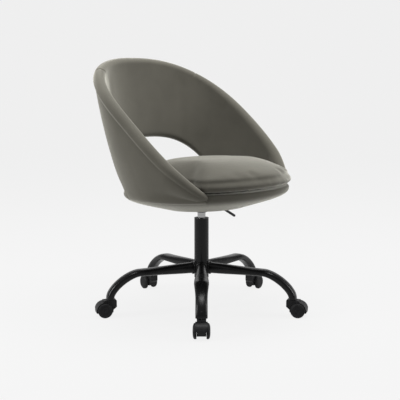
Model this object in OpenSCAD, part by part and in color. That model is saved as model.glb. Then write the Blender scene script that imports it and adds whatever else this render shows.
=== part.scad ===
// Swivel office chair: a tub seat with a padded rim and an open back window, on a gas column,
// a five-leg steel star base and twin-wheel casters.
// Millimetres, +Z up. The origin is the column's axis at floor level, and the sitter faces -Y.

/* [Star base] */
// Distance from the column's axis to each caster stem
leg_reach = 326; // [290:1:370]
// Height of the legs' centreline at the hub
leg_z = 148; // [138:1:170]
// Height of the legs' lower ends, where the caster stems go in
leg_end_z = 61; // [59:1:70]
// Run of the downward bend at the end of each leg
bend_run = 106; // [80:1:120]
// Width and height of a leg's tube at the hub
leg_root = [31, 37]; // [24:1:44]
// Width and height of the flattened tube where the bend starts
leg_knee = [49, 23]; // [20:1:56]
// Width and height of the tube at the caster
leg_tip = [39, 26]; // [24:1:44]
// Outer radius of the hub
hub_r = 32; // [29:0.5:40]
// Height of the hub
hub_h = 39; // [37:1:60]

/* [Column] */
// Outer diameter of the column's outer tube
tube_d = 50; // [46:1:56]
// Wall of the outer tube
tube_wall = 2; // [1.5:0.1:3]
// Height of the outer tube's lower end above the floor
tube_bottom_z = 112; // [100:1:118]
// Height of the outer tube's upper end above the floor
tube_top_z = 321; // [300:1:330]
// Diameter of the chromed gas cylinder
cylinder_d = 28; // [26:0.5:30]
// Wall of the gas cylinder
cylinder_wall = 2.5; // [2:0.1:4]
// Height of the gas cylinder's upper end above the floor
cylinder_top_z = 385; // [375:1:392]
// Travel of the height adjustment
travel = 100; // [60:1:110]
// Diameter of the piston rod
rod_d = 10; // [8:0.5:12]
// Length of the guide bushing inside the outer tube
bushing_l = 72; // [50:1:80]

/* [Casters] */
// Wheel diameter
wheel_d = 50; // [44:1:54]
// Width of one wheel
wheel_w = 12.4; // [10:0.2:13]
// Overall width over the two wheels
caster_w = 56; // [54:1:60]
// Horizontal distance from the swivel stem to the axle
trail = 20.5; // [17:0.5:24]
// Diameter of the swivel stem
stem_d = 11; // [9:0.5:12]
// Length of the stem above the leg's lower end
stem_l = 22; // [16:1:24]
// Axle diameter
axle_d = 8; // [6:0.5:9]
// Clearance between the hood and the floor
hood_gap = 16; // [8:1:18]

/* [Seat mechanism] */
// Side of the square mounting plate
plate_side = 156; // [130:1:180]
// Thickness of the mounting plate
plate_t = 3; // [2:0.5:4]
// Side of the square of mounting bolts
bolt_square = 120; // [90:1:140]
// Bolt diameter
bolt_d = 6; // [5:1:8]
// Clearance between the lever's pivot boss and the socket
pivot_gap = 3; // [2:0.5:6]
// Slope of the lever below level
lever_slope = 28; // [20:1:32]
// Distance from the pivot to the tip of the lever
lever_l = 178; // [140:1:200]
// Diameter of the lever's plastic sleeve
grip_d = 9.5; // [8:0.5:12]
// Angle that the lever rises through
lever_rise = 6; // [4:0.5:7]

/* [Seat] */
// Height of the seat's reference plane on the column's axis
seat_z = 432; // [428:1:450]
// Backward recline of the seat
recline = 3; // [2:0.5:5]
// Radius of the upholstered seat base
base_r = 281; // [250:1:300]
// Distance from the column's axis back to the middle of the seat base, as a negative number
base_y = -19; // [-30:1:0]
// Depth of the seat base's rounded underside
base_depth = 70; // [60:1:90]
// Height of the upright band around the seat base
base_band = 20; // [14:1:34]
// Radius of the recess in the underside that holds the mechanism
recess_r = 126; // [122:1:140]
// Radius of the plywood seat board
board_r = 222; // [190:1:230]
// Thickness of the seat board
board_t = 15; // [12:1:18]
// Thickness of the foam above the seat board
deck_t = 10; // [8:1:14]
// Height of the loose cushion's top above the reference plane, at its middle
cushion_top = 101; // [70:1:110]
// Radius of the cushion's edge at the front
cushion_front_r = 292; // [260:1:305]
// Radius of the cushion's edge inside the back
cushion_back_r = 236; // [200:1:245]

/* [Back and arms] */
// Half of the width between the rim roll's centrelines
rim_half_w = 308; // [280:1:330]
// Distance from the column's axis to the rim roll's centre at the back
rim_back_y = 318; // [290:1:330]
// Distance from the column's axis to the widest part of the rim
rim_wide_y = 42; // [30:1:60]
// Curve of the rim's plan forward of its widest part
rim_front_run = 318; // [290:1:340]
// Height of the rim roll's centre at the back
rim_top_z = 851; // [800:1:880]
// Height that the rim roll's centre falls to at the arms' front ends
rim_end_z = 425; // [415:1:435]
// Radius of the padded rim roll
roll_r = 21; // [17:0.5:22]
// Thickness of the padded back
back_t = 36; // [30:1:42]
// How far the back and arms bulge outwards between the base and the rim
back_bulge = 9; // [0:1:24]
// Height of the back window's upper edge at the middle
window_top_z = 586; // [540:1:600]
// Angle from the back to the point where the window's side meets the seat base
window_half_angle = 62; // [50:1:70]
// Outer diameter of the steel hoop inside the rim roll
hoop_d = 16; // [12:1:18]

/* [Hidden] */
$fn = 64;
LEGS = 5;
fit = 0.05;            // running clearance of a shaft in its hole, on the radius
gap = 0.3;             // clearance between soft pieces and what moves past them
leg_turn = -50;        // the first leg points this far round from the front, to the near side
plan_power = 0.8;      // 1 would make the rim's plan an ellipse, less squares it off
plan_end = 137;        // how far round from the back the arms reach
base_end = 130;        // how far round the seat base the arms' front ends stand
rim_bulge = 0.05;      // how far the rim rises above a straight line in side view
roll_gap = 3;          // height at which the rim roll is trimmed above the seat base
back_end = 0.9;        // where the back panel stops and the rim roll alone goes on, of the arm's reach
dowel_r = 5;
dowel_l = 30;
STATIONS = 54;         // sections along the back and arms
ROLL_SIDES = 16;

axle_z = wheel_d / 2;
wheel_in = caster_w / 2 - wheel_w;
hood_w = 2 * wheel_in - 1.6;
hood_r = wheel_d / 2 + 4;
sleeve_r = stem_d / 2 + 2.5;
tube_r = tube_d / 2;
tube_in = tube_r - tube_wall;
cylinder_r = cylinder_d / 2;
cylinder_in = cylinder_r - cylinder_wall;
rod_r = rod_d / 2;
floor_t = 4;
race_t = 2;
race_r = tube_in - 4;
ball_r = 2.5;
ball_pcd_r = 13;
race_z = tube_bottom_z + floor_t;
ball_z = race_z + race_t + ball_r + 0.02;
upper_race_z = ball_z + ball_r + 0.02;
stop_z = upper_race_z + race_t;
stop_h = 14;
cylinder_bottom_z = stop_z + stop_h + 1;
gland_h = 18;
piston_z = cylinder_top_z - 60;
piston_h = 14;
button_r = 4;
button_out = 4;
plate_z = seat_z - deck_t - board_t;
socket_r = cylinder_r + 5;
socket_z = cylinder_top_z - 42;
arm_r = 4;
arm_z = cylinder_top_z + button_out + arm_r;
pivot_z = cylinder_top_z + 3;
pivot_r = 3;
boss_r = 8;
boss_w = 12;
pivot_x = socket_r + pivot_gap + boss_r;
ear_t = 3;
pivot_pin_w = boss_w + 2 * ear_t + 3;
lever_r = grip_d / 2 - 0.9;
grip_l = 74;
hoop_r = hoop_d / 2;
nut_r = bolt_d / 2 + 2;

// ---- curves and sweeps ----

function mix(a, b, s) = a + (b - a) * s;
function unit(v) = v / norm(v);
function smooth(s) = let (c = min(max(s, 0), 1)) c * c * (3 - 2 * c);
function bezier(p, s) =
    pow(1 - s, 3) * p[0] + 3 * pow(1 - s, 2) * s * p[1] + 3 * (1 - s) * s * s * p[2] + s * s * s * p[3];

// A closed skin over rings of points. Each ring's first half mirrors its second half, so that the
// two ends close with a strip across.
module skin(rings) {
    n = len(rings);
    m = len(rings[0]);
    sides = [for (i = [0 : n - 2], j = [0 : m - 1])
        let (k = (j + 1) % m, a = i * m + j, b = i * m + k, c = a + m, d = b + m)
        each [[a, d, b], [a, c, d]]];
    half = m / 2;
    strip = [for (j = [0 : half - 2])
        each [[j, m - 2 - j, m - 1 - j], [j, j + 1, m - 2 - j]]];
    last = (n - 1) * m;
    back = [for (f = strip) [f[0] + last, f[2] + last, f[1] + last]];
    polyhedron(points = [for (r = rings) each r], faces = concat(sides, strip, back), convexity = 6);
}

// A tube skin between an outer and an inner set of rings, closed at both ends.
module hollow_skin(outer, inner) {
    n = len(outer);
    m = len(outer[0]);
    all = n * m;
    far = (n - 1) * m;
    faces = [for (i = [0 : n - 2], j = [0 : m - 1])
        let (k = (j + 1) % m, a = i * m + j, b = i * m + k, c = a + m, d = b + m, o = all)
        each [[a, d, b], [a, c, d], [o + a, o + b, o + d], [o + a, o + d, o + c]]];
    ends = [for (j = [0 : m - 1])
        let (k = (j + 1) % m, p = all + j, q = all + k)
        each [[j, q, p], [j, k, q],
              [far + j, far + p, far + q], [far + j, far + q, far + k]]];
    polyhedron(points = concat([for (r = outer) each r], [for (r = inner) each r]),
        faces = concat(faces, ends), convexity = 6);
}

module ring(outer, inner, h, z) {
    translate([0, 0, z]) difference() {
        cylinder(r = outer, h = h);
        translate([0, 0, -1]) cylinder(r = inner, h = h + 2);
    }
}

// ---- star base ----

module on_leg(i) {
    rotate([0, 0, leg_turn + (i - 1) * 360 / LEGS]) children();
}

// A place on a leg's centreline, as [distance from the axis, height]; s runs 0 to 1.
bend_start = leg_reach - bend_run;
straight = 0.45;
root_x = hub_r - 3;
function leg_path(s) = s < straight
    ? [mix(root_x, bend_start, s / straight), mix(leg_z, leg_z - 4, s / straight)]
    : bezier([[bend_start, leg_z - 4], [bend_start + bend_run * 0.36, leg_z - 4],
        [leg_reach, mix(leg_end_z, leg_z, 0.4)], [leg_reach, leg_end_z]], (s - straight) / (1 - straight));
function leg_size(s) = s < straight
    ? mix(leg_root, leg_knee, smooth(s / straight))
    : mix(leg_knee, leg_tip, smooth((s - straight) / (1 - straight) * 1.8));
function leg_ring(s, sides = 20, e = 0.004) =
    let (p = leg_path(s), d = leg_path(min(s + e, 1)) - leg_path(max(s - e, 0)),
         along = unit(s > 1 - e ? [0, -1] : s < e ? [1, 0] : d),
         up = [-along[1], along[0]], size = leg_size(s) / 2)
    [for (k = [0 : sides - 1]) let (
        a = (k + 0.5) * 360 / sides,
        w = size[0] * sign(cos(a)) * pow(abs(cos(a)), 0.75),
        h = size[1] * sign(sin(a)) * pow(abs(sin(a)), 0.75))
        [w, -(p[0] + up[0] * h), p[1] + up[1] * h]];
// Where the straight stretch, the bend and the tip get their sections
LEG_STEPS = [0, 0.12, 0.24, 0.36, 0.45, 0.52, 0.58, 0.64, 0.7, 0.76, 0.82, 0.88, 0.94, 1];

module leg() {
    color("#1c1c1d") difference() {
        skin([for (s = LEG_STEPS) leg_ring(s)]);
        translate([0, -leg_reach, leg_end_z - 1]) cylinder(r = sleeve_r, h = stem_l + 2);
        cylinder(r = hub_r, h = leg_z * 2);
    }
}

module base_hub() {
    bottom = leg_z - hub_h / 2;
    chamfer = min(2.5, (hub_r - tube_r) / 2);
    color("#161617") rotate_extrude() polygon([
        [tube_r, bottom], [hub_r - chamfer, bottom], [hub_r, bottom + chamfer],
        [hub_r, bottom + hub_h - chamfer], [hub_r - chamfer, bottom + hub_h], [tube_r, bottom + hub_h]]);
}

module leg_sleeves() {
    color("#2a2a2b") for (i = [1 : LEGS]) on_leg(i) translate([0, -leg_reach, 0])
        ring(sleeve_r, stem_d / 2 + fit, stem_l + 1, leg_end_z);
}

// ---- column ----

module column_tube() {
    color("#1a1a1b") difference() {
        translate([0, 0, tube_bottom_z]) cylinder(r = tube_r, h = tube_top_z - tube_bottom_z);
        translate([0, 0, race_z]) cylinder(r = tube_in, h = tube_top_z);
        translate([0, 0, tube_bottom_z - 1]) cylinder(r = rod_r + fit, h = floor_t + 2);
    }
}

module guide_bushing() {
    lip = 2;
    color("#2c2c2c") {
        ring(tube_in, cylinder_r + fit, bushing_l, tube_top_z - bushing_l);
        ring(tube_r, cylinder_r + fit, lip, tube_top_z);
    }
}

module lower_race() {
    color("#9a9a98") ring(race_r, rod_r + fit, race_t, race_z);
}

module ball_cage() {
    balls = 10;
    color("#b08d4a") {
        ring(race_r - 1, rod_r + 1, ball_r, ball_z - ball_r / 2);
        for (k = [0 : balls - 1]) rotate([0, 0, k * 360 / balls])
            translate([ball_pcd_r, 0, ball_z]) sphere(r = ball_r, $fn = 24);
    }
}

module upper_race() {
    color("#9a9a98") ring(race_r, rod_r, race_t, upper_race_z);
}

module bump_stop() {
    color("#262626") ring(race_r - 2, rod_r, stop_h, stop_z);
}

module retaining_clip() {
    clip_t = 1.6;
    clip_z = tube_bottom_z - clip_t - 0.1;
    color("#8d8d8b") difference() {
        ring(rod_r + 4, rod_r - 1, clip_t, clip_z);
        translate([0, -rod_r + 1.5, clip_z - 1]) cube([rod_r + 6, rod_r * 2 - 3, clip_t + 2]);
    }
}

module piston_rod() {
    end_z = tube_bottom_z - 5;
    groove_z = tube_bottom_z - 1.6 - 0.1;
    color("#c9c9c7") difference() {
        translate([0, 0, end_z]) cylinder(r = rod_r, h = piston_z + piston_h - end_z);
        ring(rod_r + 1, rod_r - 1, 1.6, groove_z);
    }
}

module piston_head() {
    color("#5a5a5a") ring(cylinder_in - fit, rod_r, piston_h, piston_z);
}

module gas_cylinder() {
    cap = 12;
    color("#d6d6d4") difference() {
        translate([0, 0, cylinder_bottom_z]) cylinder(r = cylinder_r, h = cylinder_top_z - cylinder_bottom_z);
        translate([0, 0, cylinder_bottom_z - 1])
            cylinder(r = cylinder_in, h = cylinder_top_z - cap - cylinder_bottom_z + 1);
        translate([0, 0, cylinder_top_z - cap - 1]) cylinder(r = button_r + fit, h = cap + 2);
    }
}

module cylinder_gland() {
    color("#3a3a3a") ring(cylinder_in, rod_r + fit, gland_h, cylinder_bottom_z);
}

module release_button() {
    color("#b9b9b7") translate([0, 0, cylinder_top_z - 9]) cylinder(r = button_r, h = 9 + button_out - fit);
}

// ---- seat mechanism ----

module reclined() {
    translate([0, 0, seat_z]) rotate([-recline, 0, 0]) translate([0, 0, -seat_z]) children();
}

module at_bolts() {
    for (x = [-1, 1], y = [-1, 1]) translate([x * bolt_square / 2, y * bolt_square / 2, 0]) children();
}

module mount_socket() {
    slot_w = arm_r * 2 + 2;
    color("#232324") difference() {
        translate([0, 0, socket_z]) cylinder(r = socket_r, h = plate_z - plate_t - socket_z + 6);
        translate([0, 0, socket_z - 1]) cylinder(r = cylinder_r, h = cylinder_top_z - socket_z + 1);
        translate([0, 0, cylinder_top_z - 1]) cylinder(r = cylinder_r - 3, h = 60);
        translate([0, -slot_w / 2, cylinder_top_z + 0.5]) cube([socket_r + 5, slot_w, 40]);
        reclined() translate([-60, -60, plate_z - plate_t]) cube([120, 120, 60]);
    }
}

module mount_plate() {
    ear_h = plate_z - plate_t - pivot_z;
    pad = 7;
    color("#1e1e1f") {
        reclined() difference() {
            translate([-plate_side / 2, -plate_side / 2, plate_z - plate_t])
                cube([plate_side, plate_side, plate_t]);
            at_bolts() translate([0, 0, plate_z - plate_t - 1]) cylinder(r = bolt_d / 2, h = plate_t + 2);
        }
        difference() {
            for (side = [-1, 1]) translate([0, side * (boss_w / 2 + gap + ear_t / 2), 0]) {
                translate([pivot_x, ear_t / 2, pivot_z]) rotate([90, 0, 0]) cylinder(r = pad, h = ear_t);
                translate([pivot_x - pad, -ear_t / 2, pivot_z]) cube([pad * 2, ear_t, ear_h + 2]);
            }
            translate([pivot_x, boss_w, pivot_z]) rotate([90, 0, 0]) cylinder(r = pivot_r, h = boss_w * 2);
            reclined() translate([-60, -60, plate_z - plate_t / 2]) cube([120, 120, 20]);
        }
    }
}

module plate_bolts() {
    head_h = 4;
    color("#8f8f8d") reclined() at_bolts() {
        translate([0, 0, plate_z - plate_t]) cylinder(r = bolt_d / 2, h = plate_t + board_t - 1);
        translate([0, 0, plate_z - plate_t - head_h]) cylinder(r = bolt_d, h = head_h, $fn = 6);
    }
}

module tee_nuts() {
    color("#a5a5a0") reclined() at_bolts() {
        ring(nut_r, bolt_d / 2, board_t - 1.5, plate_z);
        ring(nut_r + 4, bolt_d / 2, 1.5, plate_z + board_t - 1.5);
    }
}

module on_pivot() {
    translate([pivot_x, 0, pivot_z]) children();
}

module lever_rod() {
    color("#1b1b1c") difference() {
        union() {
            on_pivot() translate([0, boss_w / 2, 0]) rotate([90, 0, 0]) cylinder(r = boss_r, h = boss_w);
            translate([0, 0, arm_z]) rotate([0, 90, 0]) cylinder(r = arm_r, h = pivot_x);
            on_pivot() rotate([0, 90 + lever_slope, 0]) cylinder(r = lever_r, h = lever_l - 2);
        }
        on_pivot() translate([0, boss_w, 0]) rotate([90, 0, 0]) cylinder(r = pivot_r + fit, h = boss_w * 2);
    }
}

module lever_grip() {
    round_r = 1.5;
    color("#141414") on_pivot() rotate([0, 90 + lever_slope, 0]) translate([0, 0, lever_l - grip_l])
        rotate_extrude() polygon(concat(
            [[lever_r, 0], [grip_d / 2 - 0.5, 0], [grip_d / 2, 0.5]],
            [for (a = [0 : 15 : 90]) [grip_d / 2 - round_r * (1 - cos(a)), grip_l - round_r * (1 - sin(a))]],
            [[0, grip_l], [0, grip_l - 2], [lever_r, grip_l - 2]]));
}

module lever_pivot() {
    color("#8a8a88") on_pivot() translate([0, pivot_pin_w / 2, 0]) rotate([90, 0, 0])
        cylinder(r = pivot_r, h = pivot_pin_w);
}

// ---- casters ----

// The caster's own place: the stem's axis is the origin, and the wheels trail outwards along -Y.
module caster(i) {
    on_leg(i) translate([0, -leg_reach, 0]) children();
}

module across(w) {
    translate([0, -trail, axle_z]) rotate([0, 90, 0]) translate([0, 0, -w / 2]) cylinder(r = 1, h = w);
}

module disc(r, w) {
    translate([-w / 2, -trail, axle_z]) rotate([0, 90, 0]) cylinder(r = r, h = w);
}

module caster_hood() {
    top = leg_end_z - 1.5;
    inner_y = 20;
    fender_w = 39;
    color("#202021") difference() {
        union() {
            difference() {
                disc(hood_r, hood_w);
                translate([-hood_w, -trail - hood_r * 2, hood_gap - 50]) cube([hood_w * 2, hood_r * 4, 50]);
            }
            // body around the stem, with a sloping lower corner
            rotate([90, 0, 90]) translate([0, 0, -hood_w / 2]) linear_extrude(hood_w) polygon([
                [-trail - 4, hood_gap], [-trail + 18, hood_gap], [inner_y, axle_z + 10],
                [inner_y, top - 3], [inner_y - 3, top], [-trail - 4, top - 2]]);
            // fender over the inner edges of the wheels
            intersection() {
                difference() {
                    disc(hood_r, fender_w);
                    disc(wheel_d / 2 + 1, fender_w + 2);
                }
                translate([-fender_w, -trail - hood_r * 2, axle_z + 4]) cube([fender_w * 2, hood_r * 3, hood_r]);
            }
        }
        // room for the leg's lower end and the stem's collar
        translate([-leg_tip[0], -leg_tip[1] / 2 - 1, top]) cube([leg_tip[0] * 2, hood_r * 2, hood_r]);
        disc(axle_d / 2, caster_w);
        translate([0, 0, axle_z + 8]) cylinder(r = stem_d / 2, h = leg_end_z);
    }
}

module caster_stem() {
    collar_h = 1.2;
    color("#a8a8a6") {
        translate([0, 0, axle_z + 8]) cylinder(r = stem_d / 2, h = leg_end_z + stem_l - 1 - axle_z - 8);
        translate([0, 0, leg_end_z - 1.5]) cylinder(r = stem_d / 2 + 2, h = collar_h);
    }
}

module caster_axle() {
    color("#9c9c9a") disc(axle_d / 2, caster_w - 5);
}

// A wheel with a flat inner face and a domed outer face; side is 1 for the left one.
module caster_wheel(side) {
    tread_r = wheel_d / 2;
    dome = 3.4;
    edge = 4.2;
    bore_r = axle_d / 2 + fit;
    blind = wheel_w - 2.2;
    color("#18181a") translate([0, -trail, axle_z]) rotate([0, side * 90, 0]) translate([0, 0, wheel_in])
        rotate_extrude() polygon(concat(
            [[bore_r, 0], [tread_r - 1, 0], [tread_r, 1]],
            [for (a = [0 : 15 : 90])
                [tread_r - edge * (1 - cos(a)), wheel_w - dome - edge * (1 - sin(a)) + 1]],
            [for (s = [0.75, 0.5, 0.25, 0])
                [(tread_r - edge) * s, wheel_w - (dome - 1) * s * s]],
            [[0, blind], [bore_r, blind]]));
}

// ---- upholstered seat ----

module at_seat() {
    translate([0, 0, seat_z]) rotate([-recline, 0, 0]) translate([0, base_y, 0]) children();
}

module seat_board() {
    color("#b79a6b") at_seat() difference() {
        translate([0, 0, -deck_t - board_t]) cylinder(r = board_r, h = board_t);
        for (x = [-1, 1], y = [-1, 1])
            translate([x * bolt_square / 2, y * bolt_square / 2 - base_y, -deck_t - board_t - 1]) {
                cylinder(r = nut_r, h = board_t + 2);
                translate([0, 0, board_t + 1 - 1.5]) cylinder(r = nut_r + 4, h = 3);
            }
    }
}

module seat_base() {
    edge = 7;
    low = -base_band;
    floor_r = recess_r + 8;
    turn_r = 10;
    color("#8b8a80") difference() {
        at_seat() rotate_extrude($fn = 96) polygon(concat(
        [[0, 0]],
        [for (a = [90 : -15 : 0]) [base_r - edge * (1 - cos(a)), -edge * (1 - sin(a))]],
        [for (a = [0 : 15 : 60]) [base_r - turn_r * (1 - cos(a)), low - turn_r * sin(a)]],
        [[floor_r, -base_depth]],
        [[recess_r, -base_depth], [recess_r, -deck_t - board_t],
         [board_r, -deck_t - board_t], [board_r, -deck_t], [0, -deck_t]]));
        at_dowels() translate([0, 0, -dowel_l / 2]) cylinder(r = dowel_r, h = dowel_l);
    }
}

// Radius of the cushion's edge at an angle from the back: it widens in front of the arms.
function cushion_r(a) = mix(cushion_back_r, cushion_front_r, smooth((abs(a) - 117) / 18));

module seat_cushion() {
    sides = 60;
    low = gap + 1;
    side_r = 24;
    mid = low + side_r;
    // Each ring is [inset from the edge, height]
    rings = concat(
        [for (a = [-90 : 22.5 : 0]) [side_r * (1 - cos(a)), mid + side_r * sin(a)]],
        [for (s = [0.12, 0.28, 0.5, 0.75]) [side_r * 3.4 * s, mid + (cushion_top - mid) * pow(sin(90 * s), 0.8)]]);
    n = len(rings);
    points = concat(
        [for (q = rings, k = [0 : sides - 1]) let (a = k * 360 / sides - 180, r = cushion_r(a) - q[0])
            [r * sin(a), r * cos(a), q[1]]],
        [[0, 0, low], [0, 0, cushion_top]]);
    faces = concat(
        [for (i = [0 : n - 2], k = [0 : sides - 1])
            let (l = (k + 1) % sides, a = i * sides + k, b = i * sides + l, c = a + sides, d = b + sides)
            each [[a, b, d], [a, d, c]]],
        [for (k = [0 : sides - 1]) let (l = (k + 1) % sides) [n * sides, l, k]],
        [for (k = [0 : sides - 1]) let (l = (k + 1) % sides, t = (n - 1) * sides) [n * sides + 1, t + k, t + l]]);
    color("#959388") at_seat() polyhedron(points = points, faces = faces, convexity = 4);
}

// ---- back and arms ----

// Centre of the rim roll at t, from -1 at the left arm's front end to 1 at the right arm's.
function signed_power(v) = sign(v) * pow(abs(v), plan_power);
function rim_y(t) = let (c = signed_power(cos(plan_end * t)))
    rim_wide_y + c * (c > 0 ? rim_back_y - rim_wide_y : rim_front_run);
function rim_z(y) = let (y1 = rim_y(1), s = (y - y1) / (rim_back_y - y1))
    rim_end_z + (rim_top_z - rim_end_z) * (s + rim_bulge * sin(180 * min(max(s, 0), 1)));
function rim(t) = let (y = rim_y(t)) [rim_half_w * signed_power(sin(plan_end * t)), y, rim_z(y)];
function rim_along(t, e = 0.01) = unit(rim(min(t + e, 1)) - rim(max(t - e, -1)));
function rim_out(t) = let (d = rim_along(t)) unit([-d[1], d[0], 0]);
function rim_up(t) = let (u = cross(rim_along(t), -rim_out(t))) u[2] < 0 ? -u : u;
function plane_z(y) = seat_z - tan(recline) * y;
function on_base(t, r) = let (a = base_end * t, x = r * sin(a), y = base_y + r * cos(a)) [x, y, plane_z(y)];

// Height of the back's lower edge: the window's edge at the back, the seat base further round.
function edge_z(t) = let (a = abs(base_end * t), w = a / window_half_angle)
    w >= 1 ? 0 : window_top_z - (window_top_z - seat_z + 30) * pow(w, 3);
function back_wall(t, r, crease, s) =
    mix(on_base(t, r), crease, s) + rim_out(t) * back_bulge * 4 * s * (1 - s);
function back_start(t, r, crease) = let (b = on_base(t, r)[2])
    max(0, (edge_z(t) - b) / (crease[2] - b));
function back_ring(t, steps = 7) =
    let (c = rim(t), out = rim_out(t), up = rim_up(t),
         outer = c + out * roll_r * 0.45 - up * roll_r * 0.6,
         inner = c - out * roll_r * 0.5 - up * roll_r * 0.45,
         s0 = back_start(t, base_r, outer), s1 = back_start(t, base_r - back_t, inner),
         lift = min(1, edge_z(t) > 0 && s0 > 0 ? 1 : 0) * back_t * 0.35 / norm(outer - on_base(t, base_r)))
    concat(
        [back_wall(t, base_r - back_t * 0.3, outer, s0)],
        [for (k = [0 : steps]) back_wall(t, base_r, outer, mix(s0 + lift, 1, k / steps))],
        [for (k = [steps : -1 : 0]) back_wall(t, base_r - back_t, inner, mix(s1 + lift, 1, k / steps))],
        [back_wall(t, base_r - back_t * 0.7, inner, s1)]);

module above_base(clear) {
    difference() {
        children();
        at_seat() translate([-500, -500, clear - 300]) cube([1000, 1000, 300]);
    }
}

// Dowels that pin the back to the seat base, at angles from the back
module at_dowels() {
    for (a = [78, 95, 112], side = [-1, 1]) at_seat()
        rotate([0, 0, -a * side]) translate([0, base_r - back_t / 2, 0]) children();
}

module back_dowels() {
    color("#c2a877") at_dowels() translate([0, 0, -dowel_l / 2]) cylinder(r = dowel_r, h = dowel_l);
}

module back_shell() {
    color("#8b8a80") difference() {
        above_base(0) skin([for (k = [0 : STATIONS]) back_ring(back_end * (2 * k / STATIONS - 1))]);
        at_dowels() translate([0, 0, -1]) cylinder(r = dowel_r, h = dowel_l / 2 + 1);
    }
}

function circle_ring(t, r) = let (c = rim(t), out = rim_out(t), up = rim_up(t))
    [for (k = [0 : ROLL_SIDES - 1]) let (a = (k + 0.5) * 360 / ROLL_SIDES)
        c + out * r * cos(a) + up * r * sin(a)];
function rim_rings(r) = [for (k = [0 : STATIONS]) circle_ring(2 * k / STATIONS - 1, r)];

module rim_roll() {
    color("#9a988e") above_base(roll_gap) hollow_skin(rim_rings(roll_r), rim_rings(hoop_r));
}

module rim_hoop() {
    color("#4a4a4a") above_base(roll_gap) skin(rim_rings(hoop_r));
}

// ---- what is drawn ----

base_hub();
leg_sleeves();
column_tube();
guide_bushing();
lower_race();
ball_cage();
upper_race();
bump_stop();
retaining_clip();
piston_rod();
piston_head();
gas_cylinder();
cylinder_gland();
release_button();
mount_socket();
mount_plate();
plate_bolts();
tee_nuts();
lever_rod();
lever_grip();
lever_pivot();
seat_board();
seat_base();
seat_cushion();
back_shell();
rim_roll();
rim_hoop();
back_dowels();
for (i = [1 : LEGS]) {
    on_leg(i) leg();
    caster(i) caster_hood();
    caster(i) caster_stem();
    caster(i) caster_axle();
    caster(i) caster_wheel(-1);
    caster(i) caster_wheel(1);
}
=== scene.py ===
"""A tub swivel chair: an upholstered seat with a padded rim and an open back window, on a gas column,
a formed steel star base and twin-wheel casters. Metres, +Z up, and the sitter faces -Y."""
import math

import bmesh
import bpy
from mathutils import Matrix, Vector


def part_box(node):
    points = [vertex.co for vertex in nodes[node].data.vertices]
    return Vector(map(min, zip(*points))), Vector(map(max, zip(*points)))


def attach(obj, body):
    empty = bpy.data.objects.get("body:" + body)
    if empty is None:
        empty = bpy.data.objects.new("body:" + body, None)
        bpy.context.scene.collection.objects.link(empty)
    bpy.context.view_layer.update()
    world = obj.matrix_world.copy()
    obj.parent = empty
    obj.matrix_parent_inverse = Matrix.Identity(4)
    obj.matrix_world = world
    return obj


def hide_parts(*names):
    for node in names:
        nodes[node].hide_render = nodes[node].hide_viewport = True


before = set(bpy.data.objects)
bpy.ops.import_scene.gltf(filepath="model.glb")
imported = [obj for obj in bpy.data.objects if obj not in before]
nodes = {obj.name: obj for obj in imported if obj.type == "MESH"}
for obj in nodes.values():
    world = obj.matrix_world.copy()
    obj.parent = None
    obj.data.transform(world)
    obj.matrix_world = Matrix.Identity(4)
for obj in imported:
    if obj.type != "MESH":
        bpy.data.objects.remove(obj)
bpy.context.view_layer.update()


# ---------------------------------------------------------------------------------------------
# Star base: five flattened steel tubes, bent down at their ends and welded into a short hub.
# The whole weldment is powder coated black, with a little orange peel left in the coat.
# ---------------------------------------------------------------------------------------------

class Shade:
    """One socket of a material. Arithmetic on it adds Math nodes, and node() adds any other node."""

    def __init__(self, tree, socket=None):
        self.tree = tree
        self.socket = socket

    def node(self, kind, inputs=None, output=0, **settings):
        made = self.tree.nodes.new("ShaderNode" + kind)
        for name, value in settings.items():
            setattr(made, name, value)
        for name, value in (inputs or {}).items():
            if isinstance(value, Shade):
                self.tree.links.new(value.socket, made.inputs[name])
            else:
                made.inputs[name].default_value = value
        return Shade(self.tree, made.outputs[output] if made.outputs else None)

    def maths(self, operation, first, second):
        return self.node("Math", {0: first, 1: second}, operation=operation)

    def __add__(self, other):
        return self.maths("ADD", self, other)

    def __radd__(self, other):
        return self.maths("ADD", other, self)

    def __sub__(self, other):
        return self.maths("SUBTRACT", self, other)

    def __rsub__(self, other):
        return self.maths("SUBTRACT", other, self)

    def __mul__(self, other):
        return self.maths("MULTIPLY", self, other)

    def __rmul__(self, other):
        return self.maths("MULTIPLY", other, self)

    def ramp(self, low, high):
        """0 where this is below low, 1 where it is above high, and smooth in between."""
        return self.node("MapRange", {"Value": self, "From Min": low, "From Max": high},
                         interpolation_type="SMOOTHSTEP")

    def mix(self, low, high):
        """The colour low where this is 0, and high where it is 1."""
        return self.node("Mix", {0: self, 6: low, 7: high}, output=2, data_type="RGBA")


def new_material(name):
    material = bpy.data.materials.new(name)
    material.use_nodes = True
    material.node_tree.nodes.clear()
    return material, Shade(material.node_tree)


def surface(shade, **sockets):
    """Ends a material: sockets are the shader's own, with underscores for the spaces in their names."""
    inputs = {name.replace("_", " "): value for name, value in sockets.items()}
    shader = shade.node("BsdfPrincipled", inputs)
    shade.node("OutputMaterial", {"Surface": shader})


def painted(name, colour, dusty, rough, peel):
    """Paint or powder coat on steel: small ripples, and a faint uneven film of dust and handling."""
    material, shade = new_material(name)
    place = shade.node("TexCoord", output=3)
    ripple = shade.node("TexNoise", {"Vector": place, "Scale": 420.0, "Detail": 2.0})
    film = shade.node("TexNoise", {"Vector": place, "Scale": 14.0, "Detail": 5.0, "Roughness": 0.6})
    mark = film.ramp(0.42, 0.72)
    surface(shade, Base_Color=mark.mix(colour, dusty), Roughness=rough + mark * 0.12,
            Normal=shade.node("Bump", {"Strength": peel, "Distance": 0.0004, "Height": ripple}),
            Specular_IOR_Level=0.19)
    return material


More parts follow.
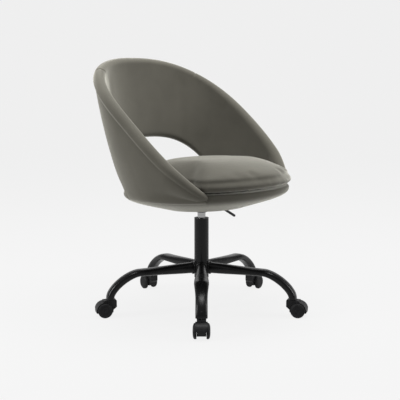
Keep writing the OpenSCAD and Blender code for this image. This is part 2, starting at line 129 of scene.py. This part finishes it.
def finish(mesh, name, body, material, sharp=40):
    """Makes a bmesh into a piece that rides on a body: smooth but for edges sharper than an angle."""
    bmesh.ops.recalc_face_normals(mesh, faces=mesh.faces)
    data = bpy.data.meshes.new(name)
    mesh.to_mesh(data)
    mesh.free()
    data.shade_smooth()
    data.set_sharp_from_angle(angle=math.radians(sharp))
    data.materials.append(material)
    piece = bpy.data.objects.new(name, data)
    bpy.context.scene.collection.objects.link(piece)
    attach(piece, body)
    return piece


def wrap(columns, rows, place):
    """A tube over a grid: the point at u, v, each from 0 to 1, goes to place(u, v). Its ends are filled."""
    mesh = bmesh.new()
    bmesh.ops.create_grid(mesh, x_segments=columns, y_segments=rows, size=0.5)
    for point in mesh.verts:
        point.co = place(point.co.x + 0.5, point.co.y + 0.5)
    bmesh.ops.remove_doubles(mesh, verts=mesh.verts, dist=1e-6)
    bmesh.ops.holes_fill(mesh, edges=[edge for edge in mesh.edges if edge.is_boundary])
    return mesh


def mix(low, high, s):
    return low + (high - low) * s


def ease(s):
    s = min(max(s, 0.0), 1.0)
    return s * s * (3 - 2 * s)


def coat(node, material):
    """Gives a CAD node its material."""
    slots = nodes[node].data.materials
    slots.clear()
    slots.append(material)


LEG_TURN = math.radians(-50)
LEG_REACH = 0.326
LEG_KNEE_X = 0.220
LEG_ROOT_X = 0.029
LEG_Z = 0.148
LEG_KNEE_Z = 0.144
LEG_TIP_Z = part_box("leg_1")[0].z
STRAIGHT = 0.45
ROOT, KNEE, TIP = Vector((0.031, 0.037)), Vector((0.049, 0.023)), Vector((0.039, 0.026))
TUBE_SQUARENESS = 0.75
BEAD_R = 0.0026
BEAD_OUT = 0.0008
BEAD_RIPPLES = 26

powder_black = painted("powder_coat_black", (0.0035, 0.0035, 0.0038, 1), (0.006, 0.006, 0.0063, 1),
                       0.25, 0.03)


def around(i):
    """Turns a leg drawn along -Y to where leg i points."""
    return Matrix.Rotation(LEG_TURN + (i - 1) * math.tau / 5, 4, "Z")


def leg_line(s):
    """Distance from the column and height of a leg's centreline, s running from 0 to 1."""
    if s < STRAIGHT:
        return Vector((mix(LEG_ROOT_X, LEG_KNEE_X, s / STRAIGHT), mix(LEG_Z, LEG_KNEE_Z, s / STRAIGHT)))
    q = (s - STRAIGHT) / (1 - STRAIGHT)
    bend = (Vector((LEG_KNEE_X, LEG_KNEE_Z)), Vector((0.2582, LEG_KNEE_Z)),
            Vector((LEG_REACH, mix(LEG_TIP_Z, LEG_Z, 0.4))), Vector((LEG_REACH, LEG_TIP_Z)))
    return sum((bend[k] * math.comb(3, k) * q ** k * (1 - q) ** (3 - k) for k in range(4)), Vector((0, 0)))


def leg_size(s):
    """Width and height of the flattened tube."""
    if s < STRAIGHT:
        return ROOT.lerp(KNEE, ease(s / STRAIGHT))
    return KNEE.lerp(TIP, ease((s - STRAIGHT) / (1 - STRAIGHT) * 1.8))


def squared(v):
    """A sine or cosine, raised so that a circle becomes a tube with flatter sides."""
    return math.copysign(abs(v) ** TUBE_SQUARENESS, v)


def leg_skin(u, v):
    """A place on a leg's skin, u along it and v around it."""
    here = leg_line(u)
    along = leg_line(min(u + 0.004, 1)) - leg_line(max(u - 0.004, 0))
    along.normalize()
    up = Vector((-along.y, along.x))
    size = leg_size(u) / 2
    turn = v * math.tau
    across = size.x * squared(math.cos(turn))
    rise = size.y * squared(math.sin(turn))
    return Vector((across, -(here.x + up.x * rise), here.y + up.y * rise))


def weld_bead(i):
    """The fillet weld where a leg's tube meets the hub, laid in short overlapping ripples."""
    def place(u, v):
        turn = u * math.tau
        ripple = 1 + 0.10 * math.sin(turn * BEAD_RIPPLES)
        across = (ROOT.x / 2 + BEAD_OUT) * squared(math.cos(turn))
        rise = (ROOT.y / 2 + BEAD_OUT) * squared(math.sin(turn))
        out = math.sqrt(max(hub_radius ** 2 - across ** 2, 1e-6)) + 0.0006
        side = Vector((across, 0, rise)).normalized()
        spread = Vector((side.x, -0.55, side.z)).normalized()
        roll = v * math.tau
        centre = Vector((across, -out, LEG_Z + rise))
        ring = side * math.cos(roll) + Vector((0, -1, 0)) * math.sin(roll)
        return centre + ring * BEAD_R * ripple + spread * 0.0004
    mesh = wrap(104, 8, place)
    bmesh.ops.transform(mesh, matrix=around(i), verts=mesh.verts)
    finish(mesh, f"weld_bead_{i}", "base", powder_black, 60)


hub_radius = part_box("base_hub")[1].x
for i in range(1, 6):
    mesh = wrap(96, 44, leg_skin)
    bmesh.ops.transform(mesh, matrix=around(i), verts=mesh.verts)
    leg = finish(mesh, f"formed_leg_{i}", "base", powder_black)
    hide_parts(f"leg_{i}")
    weld_bead(i)
coat("base_hub", powder_black)


# ---------------------------------------------------------------------------------------------
# Casters: a nylon hood with a fender over two wheels, on a steel swivel stem that snaps into a
# plastic sleeve in the leg's end. Each wheel is a moulded disc with a softer tread around it.
# ---------------------------------------------------------------------------------------------

def moulded(name, colour, rough, grain):
    """Moulded plastic: spark-eroded grain, with flow marks in the gloss."""
    material, shade = new_material(name)
    place = shade.node("TexCoord", output=3)
    spark = shade.node("TexNoise", {"Vector": place, "Scale": 1500.0, "Detail": 3.0})
    flow = shade.node("TexNoise", {"Vector": place, "Scale": 30.0, "Detail": 3.0, "Distortion": 1.2})
    pale = tuple(min(1.0, c * 1.35 + 0.002) for c in colour[:3]) + (1,)
    surface(shade, Base_Color=flow.ramp(0.4, 0.7).mix(colour, pale), Roughness=rough + (flow - 0.5) * 0.16,
            Specular_IOR_Level=0.15,
            Normal=shade.node("Bump", {"Strength": grain, "Distance": 0.0003, "Height": spark}))
    return material


def metal(name, colour, rough, brushed=0.05):
    """Bare or plated steel, with fine turning marks round the upright axis."""
    material, shade = new_material(name)
    place = shade.node("TexCoord", output=3)
    stretched = shade.node("Mapping", {"Vector": place, "Scale": (60.0, 60.0, 2600.0)})
    marks = shade.node("TexNoise", {"Vector": stretched, "Scale": 1.0, "Detail": 2.0})
    smear = shade.node("TexNoise", {"Vector": place, "Scale": 35.0, "Detail": 4.0})
    surface(shade, Base_Color=colour, Metallic=1.0, Roughness=rough + smear.ramp(0.45, 0.75) * 0.1,
            Normal=shade.node("Bump", {"Strength": brushed, "Distance": 0.0002, "Height": marks}))
    return material


nylon_hood = moulded("nylon_hood", (0.0065, 0.0065, 0.007, 1), 0.46, 0.35)
nylon_wheel = moulded("nylon_wheel", (0.0055, 0.0055, 0.006, 1), 0.52, 0.3)
soft_tread = moulded("soft_tread", (0.0075, 0.0075, 0.008, 1), 0.66, 0.5)
sleeve_plastic = moulded("sleeve_plastic", (0.018, 0.018, 0.018, 1), 0.5, 0.3)
zinc = metal("zinc_plate", (0.60, 0.60, 0.58, 1), 0.34)

TRAIL = 0.0205
AXLE_Z = 0.025
WHEEL_R = 0.025
WHEEL_IN, WHEEL_OUT = 0.0156, 0.0280
TREAD_R = 0.0236


def at_caster(i):
    return around(i) @ Matrix.Translation((0, -LEG_REACH, 0))


def wheel(i, side):
    """A wheel turned from its section: hub boss, dished disc with a raised ring, and rounded tread."""
    inner, outer = WHEEL_IN, WHEEL_OUT
    section = [(0.0042, inner), (0.0120, inner), (0.0126, inner + 0.0012), (0.0205, inner + 0.0012),
               (0.0212, inner), (0.0236, inner), (0.0246, inner + 0.0008), (WHEEL_R, inner + 0.0022),
               (WHEEL_R, inner + 0.0058), (0.0247, inner + 0.0072), (0.0240, inner + 0.0082),
               (0.0228, outer - 0.0034), (0.0224, outer - 0.0038), (0.0220, outer - 0.0034),
               (0.0208, outer - 0.0024), (0.0180, outer - 0.0014), (0.0130, outer - 0.0006),
               (0.0075, outer - 0.0002), (0.0066, outer - 0.0007), (0.0058, outer - 0.0002), (0.0, outer)]
    mesh = bmesh.new()
    points = [mesh.verts.new((x * side, radius, 0)) for radius, x in section]
    for a, b in zip(points, points[1:]):
        mesh.edges.new((a, b))
    bmesh.ops.spin(mesh, geom=mesh.verts[:] + mesh.edges[:], cent=(0, 0, 0), axis=(1, 0, 0),
                   angle=math.tau, steps=64, use_merge=True)
    bmesh.ops.remove_doubles(mesh, verts=mesh.verts, dist=1e-6)
    bmesh.ops.transform(mesh, matrix=at_caster(i) @ Matrix.Translation((0, -TRAIL, AXLE_Z)), verts=mesh.verts)
    hand = "left" if side < 0 else "right"
    piece = finish(mesh, f"wheel_{hand}_disc_{i}", f"{hand}_wheel_{i}", nylon_wheel, 50)
    piece.data.materials.append(soft_tread)
    centre = at_caster(i) @ Vector((0, -TRAIL, AXLE_Z))
    axle = around(i) @ Vector((1, 0, 0))
    for face in piece.data.polygons:
        away = face.center - centre
        if (away - axle * axle.dot(away)).length > TREAD_R:
            face.material_index = 1
    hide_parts(f"wheel_{hand}_{i}")


for i in range(1, 6):
    wheel(i, -1)
    wheel(i, 1)
    coat(f"caster_hood_{i}", nylon_hood)
    coat(f"caster_stem_{i}", zinc)
    coat(f"caster_axle_{i}", zinc)
coat("leg_sleeves", sleeve_plastic)


# ---------------------------------------------------------------------------------------------
# Column: a painted outer tube in the hub, a plastic bushing in its mouth, and a chromed gas
# cylinder that slides in it on its piston rod, over a ball thrust bearing.
# ---------------------------------------------------------------------------------------------

chrome = metal("chrome_plate", (0.34, 0.34, 0.34, 1), 0.10, 0.02)
bright = metal("bright_steel", (0.55, 0.55, 0.54, 1), 0.22)
brass = metal("cage_brass", (0.62, 0.45, 0.20, 1), 0.3)
bearing_plastic = moulded("bearing_plastic", (0.02, 0.02, 0.021, 1), 0.42, 0.2)
stop_rubber = moulded("stop_rubber", (0.012, 0.012, 0.012, 1), 0.8, 0.5)

coat("column_tube", powder_black)
coat("guide_bushing", bearing_plastic)
coat("gas_cylinder", chrome)
for node in ("piston_rod", "lower_race", "upper_race", "retaining_clip", "release_button"):
    coat(node, bright)
coat("ball_cage", brass)
coat("cylinder_gland", bearing_plastic)
coat("piston_head", bearing_plastic)
coat("bump_stop", stop_rubber)


# ---------------------------------------------------------------------------------------------
# Seat mechanism: a pressed plate with the taper socket welded to it, bolted up into tee nuts in
# the seat board, and the height lever on its pivot, with a plastic sleeve on its outer end.
# ---------------------------------------------------------------------------------------------

mechanism_paint = painted("mechanism_paint", (0.012, 0.012, 0.0125, 1), (0.022, 0.022, 0.022, 1), 0.42, 0.25)
grip_plastic = moulded("grip_plastic", (0.009, 0.009, 0.0095, 1), 0.38, 0.2)
for node in ("mount_plate", "mount_socket", "lever_rod"):
    coat(node, mechanism_paint)
coat("lever_grip", grip_plastic)
for node in ("plate_bolts", "tee_nuts", "lever_pivot"):
    coat(node, zinc)


# ---------------------------------------------------------------------------------------------
# Seat base: a round plywood board in shaped foam, under a velvet cover. The cover turns under a
# soft band and runs in to the recess that the mechanism sits in.
# ---------------------------------------------------------------------------------------------

def velvet(name, painted_light_share):
    """Short-pile velvet. The pile lies over in soft cloudy patches, and its tips catch light at edges."""
    # Each piece gets its own copy of this one velvet, scaled lighter or darker: painted light and painted
    # shade, not a different fabric.
    body_colour, deep, pale = (tuple(c * painted_light_share for c in colour) + (1,) for colour in VELVET)
    material, shade = new_material(name)
    place = shade.node("TexCoord", output=3)
    clouds = shade.node("TexNoise", {"Vector": place, "Scale": 4.5, "Detail": 2.0, "Roughness": 0.5})
    strokes = shade.node("TexNoise", {"Vector": place, "Scale": 17.0, "Detail": 3.0, "Distortion": 0.8})
    pile = shade.node("TexNoise", {"Vector": place, "Scale": 1300.0, "Detail": 2.0})
    tufts = shade.node("TexVoronoi", {"Vector": place, "Scale": 900.0})
    brushed = (clouds * 0.75 + strokes * 0.25).ramp(0.34, 0.68)
    tone = (brushed * 0.7 + 0.15).mix(deep, pale)
    colour = (pile.ramp(0.35, 0.8) * 0.3).mix(tone, body_colour)
    fine = shade.node("Bump", {"Strength": 0.3, "Distance": 0.0006, "Height": tufts * 0.6 + pile * 0.4})
    soft = shade.node("Bump", {"Strength": 0.1, "Distance": 0.004, "Height": strokes, "Normal": fine})
    surface(shade, Base_Color=colour, Roughness=0.84 + brushed * 0.08, Normal=soft, Sheen_Weight=1.0,
            Sheen_Roughness=0.38, Sheen_Tint=(0.60, 0.59, 0.53, 1), Specular_IOR_Level=0.12)
    return material


VELVET = ((0.066, 0.062, 0.050), (0.056, 0.053, 0.043), (0.078, 0.074, 0.061))
# The seat base's copy of the velvet is painted darker: painted shade.
velvet_base = velvet("velvet_base", 0.84)

RECLINE = math.radians(3)
SEAT_Z = 0.432
BASE_Y = -0.019
BASE_R = 0.281
PROUD = 0.003
FOOT_END = math.radians(130)
DECK_R = 0.2
SEAM_W = 0.0022
SEAT = (Matrix.Translation((0, 0, SEAT_Z)) @ Matrix.Rotation(-RECLINE, 4, "X")
        @ Matrix.Translation((0, BASE_Y, 0)))


def on_base(turn, radius, height):
    """A place on the seat base: turn is from the back, and height from its top plane."""
    return SEAT @ Vector((radius * math.sin(turn), radius * math.cos(turn), height))


def bump_at(distance, width):
    """1 at the middle of a seam or fold, and 0 a few widths away."""
    return math.exp(-(distance / width) ** 2)


UNDERSIDE = ((BASE_R, -0.010), (BASE_R, -0.034), (0.2255, -0.0443), (0.134, -0.070))


def underside(q):
    """Radius and height of the cover from under the rounded edge, q = 0, in to the recess, q = 1."""
    parts = [math.comb(3, k) * q ** k * (1 - q) ** (3 - k) for k in range(4)]
    return tuple(sum(part * place[axis] for part, place in zip(parts, UNDERSIDE)) for axis in (0, 1))


def base_section():
    """Radius and height down the cover: top, rounded edge, underside and the recess's lip."""
    edge = 0.008
    line = [(0.0, 0.0)] + [(0.250 * k / 8, 0.0) for k in range(1, 9)]
    for k in range(9):
        a = math.pi / 2 * (1 - k / 8)
        line.append((BASE_R - edge * (1 - math.cos(a)), -edge * (1 - math.sin(a))))
    line += [underside(k / 36) for k in range(37)]
    line += [(0.1315, -0.0704), (0.1280, -0.0690), (0.1265, -0.0655), (0.1262, -0.055), (0.1262, -0.0255)]
    return line


mesh = bmesh.new()
points = [mesh.verts.new((0, radius, height)) for radius, height in base_section()]
for a, b in zip(points, points[1:]):
    mesh.edges.new((a, b))
bmesh.ops.spin(mesh, geom=mesh.verts[:] + mesh.edges[:], cent=(0, 0, 0), axis=(0, 0, 1),
               angle=math.tau, steps=288, use_merge=True)
bmesh.ops.remove_doubles(mesh, verts=mesh.verts, dist=1e-6)
bmesh.ops.holes_fill(mesh, edges=[edge for edge in mesh.edges if edge.is_boundary])
for point in mesh.verts:
    radius = math.hypot(point.co.x, point.co.y)
    turn = abs(math.atan2(point.co.x, point.co.y))
    if radius > DECK_R:
        front = ease((turn - FOOT_END + 0.02) / 0.04)
        seam = bump_at((turn - FOOT_END) * radius, SEAM_W)
        push = PROUD * front - SEAM_W * seam
        flat = Vector((point.co.x, point.co.y, 0)) / radius
        point.co += flat * push * ease((radius - DECK_R) / 0.07)
    point.co = SEAT @ point.co
base_cover = finish(mesh, "base_cover", "seat", velvet_base, 60)
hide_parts("seat_base")


def wood(name, colour, grain_colour, scale):
    material, shade = new_material(name)
    place = shade.node("TexCoord", output=3)
    along = shade.node("Mapping", {"Vector": place, "Scale": scale})
    grain = shade.node("TexNoise", {"Vector": along, "Scale": 1.0, "Detail": 6.0, "Distortion": 0.4})
    surface(shade, Base_Color=grain.ramp(0.35, 0.7).mix(colour, grain_colour), Roughness=0.62 + grain * 0.1,
            Normal=shade.node("Bump", {"Strength": 0.2, "Distance": 0.0005, "Height": grain}))
    return material


coat("seat_board", wood("birch_plywood", (0.46, 0.33, 0.19, 1), (0.34, 0.22, 0.12, 1), (12.0, 220.0, 500.0)))
coat("back_dowels", wood("beech_dowel", (0.50, 0.34, 0.19, 1), (0.40, 0.25, 0.13, 1), (300.0, 300.0, 25.0)))


# ---------------------------------------------------------------------------------------------
# Back and arms: one padded band that sweeps from arm to arm. Its upper edge rolls over a steel
# hoop, it is cut away low at the back, and its outer cover is pulled down over the seat base.
# ---------------------------------------------------------------------------------------------

ROLL_R = 0.021
ROLL_END_R = 0.009
WALL = 0.036
BULGE = 0.009
PLAN_POWER = 0.8
PLAN_END = math.radians(137)
RIM_BULGE = 0.05
HALF_WIDTH = 0.308
BACK_Y = 0.318
TOP_Z = 0.851
WIDE_Y = 0.042
FRONT_RUN = 0.318
END_Z = 0.425
WINDOW_HALF = math.radians(62)
WINDOW_TOP = 0.586
CREASE = math.radians(-36)
CREASE_DEPTH = 0.13
SKIRT = 0.055
TAPER = 0.80
SEAMS = (-0.30, 0.345)
DART = math.radians(33)
OUTER, OVER, INNER, UNDER = 44, 36, 44, 14
ROUND = 4

# The back and arms' copy of the velvet is painted lighter: painted light.
velvet_back = velvet("velvet_back", 1.07)


def signed_power(v):
    return math.copysign(abs(v) ** PLAN_POWER, v)


def rim(t):
    """Centre of the roll, from t = -1 at the right arm's front end to 1 at the left arm's."""
    c = signed_power(math.cos(PLAN_END * t))
    y = WIDE_Y + c * (BACK_Y - WIDE_Y if c > 0 else FRONT_RUN)
    y_end = WIDE_Y + signed_power(math.cos(PLAN_END)) * FRONT_RUN
    s = (y - y_end) / (BACK_Y - y_end)
    z = END_Z + (TOP_Z - END_Z) * (s + RIM_BULGE * math.sin(math.pi * min(max(s, 0), 1)))
    whole = Vector((HALF_WIDTH * signed_power(math.sin(PLAN_END * t)), y, z))
    end = on_base(FOOT_END * math.copysign(1, t), BASE_R + PROUD - ROLL_END_R, -ROLL_END_R)
    return whole.lerp(end, ease((abs(t) - TAPER) / (1 - TAPER)))


def rim_frame(t):
    """Directions out from and up from the roll at t."""
    along = (rim(min(t + 0.01, 1)) - rim(max(t - 0.01, -1))).normalized()
    out = Vector((-along.y, along.x, 0)).normalized()
    up = along.cross(-out)
    return out, (-up if up.z < 0 else up)


def skirt_point(turn, d):
    """A place on the outer cover below the seat base's top plane, d of its depth down."""
    if d < 0.010:
        return on_base(turn, BASE_R + PROUD, -d)
    q = (d - 0.010) * 7.5
    radius, height = underside(q)
    ahead = underside(q + 0.01)
    slope = Vector((ahead[0] - radius, ahead[1] - height)).normalized()
    lift = PROUD * (1 - ease((d - 0.034) / 0.021)) - 0.0015 * ease((d - 0.045) / 0.01)
    return on_base(turn, radius - slope.y * lift, height + slope.x * lift)


def section(t):
    """The band's closed section at t: up the outer wall, over the roll, down inside and across."""
    turn = FOOT_END * t
    opened = abs(turn) / WINDOW_HALF
    taper = ease((abs(t) - TAPER) / (1 - TAPER))
    roll = mix(ROLL_R, ROLL_END_R, taper)
    depth = CREASE_DEPTH * (1 - taper)
    bulge = BULGE * (1 - taper)
    centre = rim(t)
    out, up = rim_frame(t)
    step = (rim(min(t + 0.005, 1)) - rim(max(t - 0.005, -1))).length / 0.01
    pinch = sum(bump_at((t - seam) * step, 0.0026) for seam in SEAMS) * 0.09

    def on_roll(angle, pinch=pinch):
        reach = roll * (1 - depth * bump_at(angle - CREASE, 0.40) - pinch)
        return centre + out * math.cos(angle) * reach + up * math.sin(angle) * reach

    crease = on_roll(CREASE, 0)
    drop = mix(0, SKIRT, ease((opened - 0.94) / 0.10))
    start = 0.020 * taper
    foot = on_base(turn, BASE_R + PROUD, -start)
    edge = WINDOW_TOP - (WINDOW_TOP - SEAT_Z + 0.030) * opened ** 3 if opened < 1 else 0
    lift = 0.014 * ease((edge - foot.z) / 0.03)
    s0 = max(0, (edge + lift - foot.z) / (crease.z - foot.z)) if crease.z > foot.z + 0.01 else 0
    high = (crease - foot).length * (1 - s0)
    outer = []
    for k in range(OUTER + 1):
        q = (max(drop - start, 0) + high) * (1 - (1 - k / OUTER) ** 1.5)
        below = max(drop - start, 0) - q
        if below > 0:
            outer.append(skirt_point(turn, start + below))
        else:
            s = mix(s0, 1, -below / high)
            outer.append(foot.lerp(crease, s) + out * bulge * 4 * s * (1 - s))
    over = []
    for k in range(1, OVER):
        angle = mix(CREASE, math.radians(184), k / OVER)
        over.append(on_roll(angle, pinch * ease(k / 5) * ease((OVER - k) / 8)))
    top = on_roll(math.radians(184), 0)
    low = on_base(turn, BASE_R - WALL, -0.010)
    s1 = max(0, (edge + lift - low.z) / (top.z - low.z)) if top.z > low.z + 0.01 else 0
    dart = bump_at((abs(turn) - DART) * 0.25, 0.020) * 0.0016
    inner = []
    for k in range(INNER + 1):
        s = mix(1, s1, k / INNER)
        groove = dart * ease((1 - s) / 0.12)
        inner.append(low.lerp(top, s) + out * (bulge * 4 * s * (1 - s) + groove))
    first, last = outer[0], inner[-1]
    middle = (first + last) / 2
    fall = Vector((0, 0, -1)) * mix(0.001, lift, ease(lift / 0.014))
    under = [middle + (last - middle) * math.cos(math.pi * k / UNDER) + fall * math.sin(math.pi * k / UNDER)
             for k in range(1, UNDER)]
    return outer + over + inner + under


def stations():
    """Places for the sections: even along the band, with more of them at each seam."""
    even = [k / 180 for k in range(-180, 181)]
    near = [seam + side * gap for seam in SEAMS for side in (-1, 1) for gap in (0.0, 0.0012, 0.0026, 0.0042)]
    kept = [t for t in even if all(abs(t - seam) > 0.005 for seam in SEAMS)]
    return sorted(set(kept + near))


places = stations()
rings = []
for t in places:
    ring = section(t)
    for _ in range(ROUND):
        ring = [ring[k - 1] * 0.25 + ring[k] * 0.5 + ring[(k + 1) % len(ring)] * 0.25
                for k in range(len(ring))]
    rings.append(ring)
count = len(rings[0])
last = len(rings) - 1
mesh = wrap(last, count, lambda u, v: rings[round(u * last)][round(v * count) % count])
back_cover = finish(mesh, "back_and_arms", "seat", velvet_back, 70)
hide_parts("back_shell", "rim_roll", "rim_hoop")


# ---------------------------------------------------------------------------------------------
# Seat cushion: a loose foam pad in a velvet case, wider in front of the arms. The case is sewn
# from a crowned top and a boxed border, and the foam fills it tight.
# ---------------------------------------------------------------------------------------------

# The cushion's copy of the velvet is painted darker, to tone down its lit top: painted shade.
velvet_cushion = velvet("velvet_cushion", 0.80)
CUSHION_TOP = 0.101
CUSHION_FRONT_R = 0.294
CUSHION_BACK_R = 0.236
INSET = 0.004
BORDER_Z = 0.028
SHOULDER_Z = 0.056
MOVE_LIMIT = 0.004
LIP_Z, VALLEY_Z = 0.018, 0.037


def cushion_edge(turn):
    """The cushion's radius: it widens in front of the arms."""
    return mix(CUSHION_BACK_R, CUSHION_FRONT_R, ease((abs(math.degrees(turn)) - 116) / 16))


mesh = bmesh.new()
bmesh.ops.create_uvsphere(mesh, u_segments=128, v_segments=64, radius=1)
for point in mesh.verts:
    turn = math.atan2(point.co.x, point.co.y)
    tilt = math.asin(max(-1, min(1, point.co.z)))
    edge = cushion_edge(turn) - INSET
    inward, level = (0.30, 0.48) if tilt > 0 else (0.20, 0.34)
    rise = math.copysign(abs(math.sin(tilt)) ** level, tilt)
    radius = edge * abs(math.cos(tilt)) ** inward
    crown = mix(SHOULDER_Z, CUSHION_TOP - INSET, ease(1 - (radius / edge) ** 2.6))
    height = BORDER_Z + (crown - BORDER_Z) * rise if rise > 0 else BORDER_Z + 0.026 * rise
    point.co = Vector((radius * math.sin(turn), radius * math.cos(turn), height))
mesh_data = bpy.data.meshes.new("cushion_start")
bmesh.ops.recalc_face_normals(mesh, faces=mesh.faces)
mesh.to_mesh(mesh_data)
mesh.free()
cushion = bpy.data.objects.new("seat_pad", mesh_data)
bpy.context.scene.collection.objects.link(cushion)


def apply_modifiers(piece):
    """Replaces a piece's mesh with the one its modifiers make."""
    depsgraph = bpy.context.evaluated_depsgraph_get()
    made = bpy.data.meshes.new_from_object(piece.evaluated_get(depsgraph))
    piece.modifiers.clear()
    piece.data = made


remesh = cushion.modifiers.new("remesh", "REMESH")
remesh.mode = "VOXEL"
remesh.voxel_size = 0.006
apply_modifiers(cushion)
resting = [point.co.copy() for point in cushion.data.vertices]
cloth = cushion.modifiers.new("cloth", "CLOTH")
cloth.settings.use_pressure = True
cloth.settings.uniform_pressure_force = 2.5
cloth.settings.effector_weights.gravity = 0
cloth.settings.quality = 6
cloth.settings.tension_stiffness = 20
cloth.settings.bending_stiffness = 8
held = cushion.vertex_groups.new(name="bottom_panel")
held.add([point.index for point in cushion.data.vertices if point.co.z < 0.010], 1, "REPLACE")
cloth.settings.vertex_group_mass = "bottom_panel"
cloth.point_cache.frame_end = 20
for moment in range(1, 21):
    bpy.context.scene.frame_set(moment)
apply_modifiers(cushion)
bpy.context.scene.frame_set(1)
for point, rest in zip(cushion.data.vertices, resting):
    moved = point.co - rest
    if moved.length > MOVE_LIMIT:
        point.co = rest + moved.normalized() * MOVE_LIMIT
relax = cushion.modifiers.new("relax", "SMOOTH")
relax.factor = 0.5
relax.iterations = 16
smooth = cushion.modifiers.new("soften", "SUBSURF")
smooth.levels = smooth.render_levels = 1
apply_modifiers(cushion)
for point in cushion.data.vertices:
    flat = Vector((point.co.x, point.co.y, 0))
    reach = flat.length
    turn = math.atan2(point.co.x, point.co.y)
    edge = cushion_edge(turn)
    rim_share = ease((reach / edge - 0.80) / 0.15)
    valley = bump_at(point.co.z - VALLEY_Z, 0.008)
    lip = bump_at(point.co.z - LIP_Z, 0.011)
    if reach > 0:
        point.co += flat / reach * rim_share * (0.004 * lip - 0.004 * valley)
    point.co.z = max(point.co.z, 0.0012 + 0.008 * rim_share)
    over = math.hypot(point.co.x, point.co.y) - edge - 0.006
    if over > 0:
        point.co -= flat / reach * over
    point.co = SEAT @ point.co
cushion.data.shade_smooth()
cushion.data.materials.clear()
cushion.data.materials.append(velvet_cushion)
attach(cushion, "seat")
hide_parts("seat_cushion")


# ---------------------------------------------------------------------------------------------
# Studio: a pale sweep that curves up behind the chair, two tall soft lights, a broad one overhead,
# and an even pale surround. A long lens looks slightly down from in front, on the chair's -X side.
# ---------------------------------------------------------------------------------------------

bpy.context.scene.view_settings.view_transform = "Standard"

sweep_material, shade = new_material("studio_sweep")
surface(shade, Base_Color=(0.03, 0.03, 0.03, 1), Roughness=0.95, Specular_IOR_Level=0.0,
        Emission_Color=(1, 1, 1, 1), Emission_Strength=0.85)
mesh = bmesh.new()
bmesh.ops.create_grid(mesh, x_segments=4, y_segments=60, size=0.5)
for point in mesh.verts:
    across, run = point.co.x * 40, (point.co.y + 0.5) * 26 - 12
    bend = max(run - 6, 0)
    point.co = Vector((across, 0, 0)) + (
        Vector((0, run, 0)) if bend == 0 else
        Vector((0, 6 + 5 * math.sin(min(bend / 5, math.pi / 2)),
                5 * (1 - math.cos(min(bend / 5, math.pi / 2))) + max(bend - 5 * math.pi / 2, 0))))
bmesh.ops.transform(mesh, matrix=Matrix.Rotation(math.radians(-50), 4, "Z"), verts=mesh.verts)
sweep_data = bpy.data.meshes.new("studio_sweep")
mesh.to_mesh(sweep_data)
mesh.free()
sweep_data.shade_smooth()
sweep_data.materials.append(sweep_material)
sweep = bpy.data.objects.new("studio_sweep", sweep_data)
bpy.context.scene.collection.objects.link(sweep)

world = bpy.data.worlds.new("surround")
world.use_nodes = True
world.node_tree.nodes["Background"].inputs["Color"].default_value = (1, 1, 1, 1)
world.node_tree.nodes["Background"].inputs["Strength"].default_value = 0.30
bpy.context.scene.world = world


def soft_light(name, place, aim, size, power):
    lamp = bpy.data.lights.new(name, "AREA")
    lamp.shape = "RECTANGLE"
    lamp.size, lamp.size_y = size
    lamp.energy = power
    light = bpy.data.objects.new(name, lamp)
    bpy.context.scene.collection.objects.link(light)
    light.location = place
    light.rotation_euler = (Vector(aim) - Vector(place)).to_track_quat("-Z", "Y").to_euler()


soft_light("left", (-2.6, 1.6, 1.5), (0, 0, 0.4), (0.7, 1.9), 85)
soft_light("right", (1.7, -2.6, 1.5), (0, 0, 0.4), (1.1, 1.9), 70)
soft_light("top", (0.1, 0.0, 3.4), (0, 0, 0.4), (2.2, 2.2), 185)

VIEW_TURN, VIEW_DOWN = math.radians(50), 8.664
VIEW_FAR, VIEW_Z = 2.8399, 0.8169

lens = bpy.data.cameras.new("camera")
lens.lens = 74.86
lens.shift_x = -0.00375
camera = bpy.data.objects.new("camera", lens)
bpy.context.scene.collection.objects.link(camera)
camera.location = (-VIEW_FAR * math.sin(VIEW_TURN), -VIEW_FAR * math.cos(VIEW_TURN), VIEW_Z)
camera.rotation_euler = (math.radians(90 - VIEW_DOWN), 0, -VIEW_TURN)
bpy.context.scene.camera = camera

bpy.context.view_layer.update()
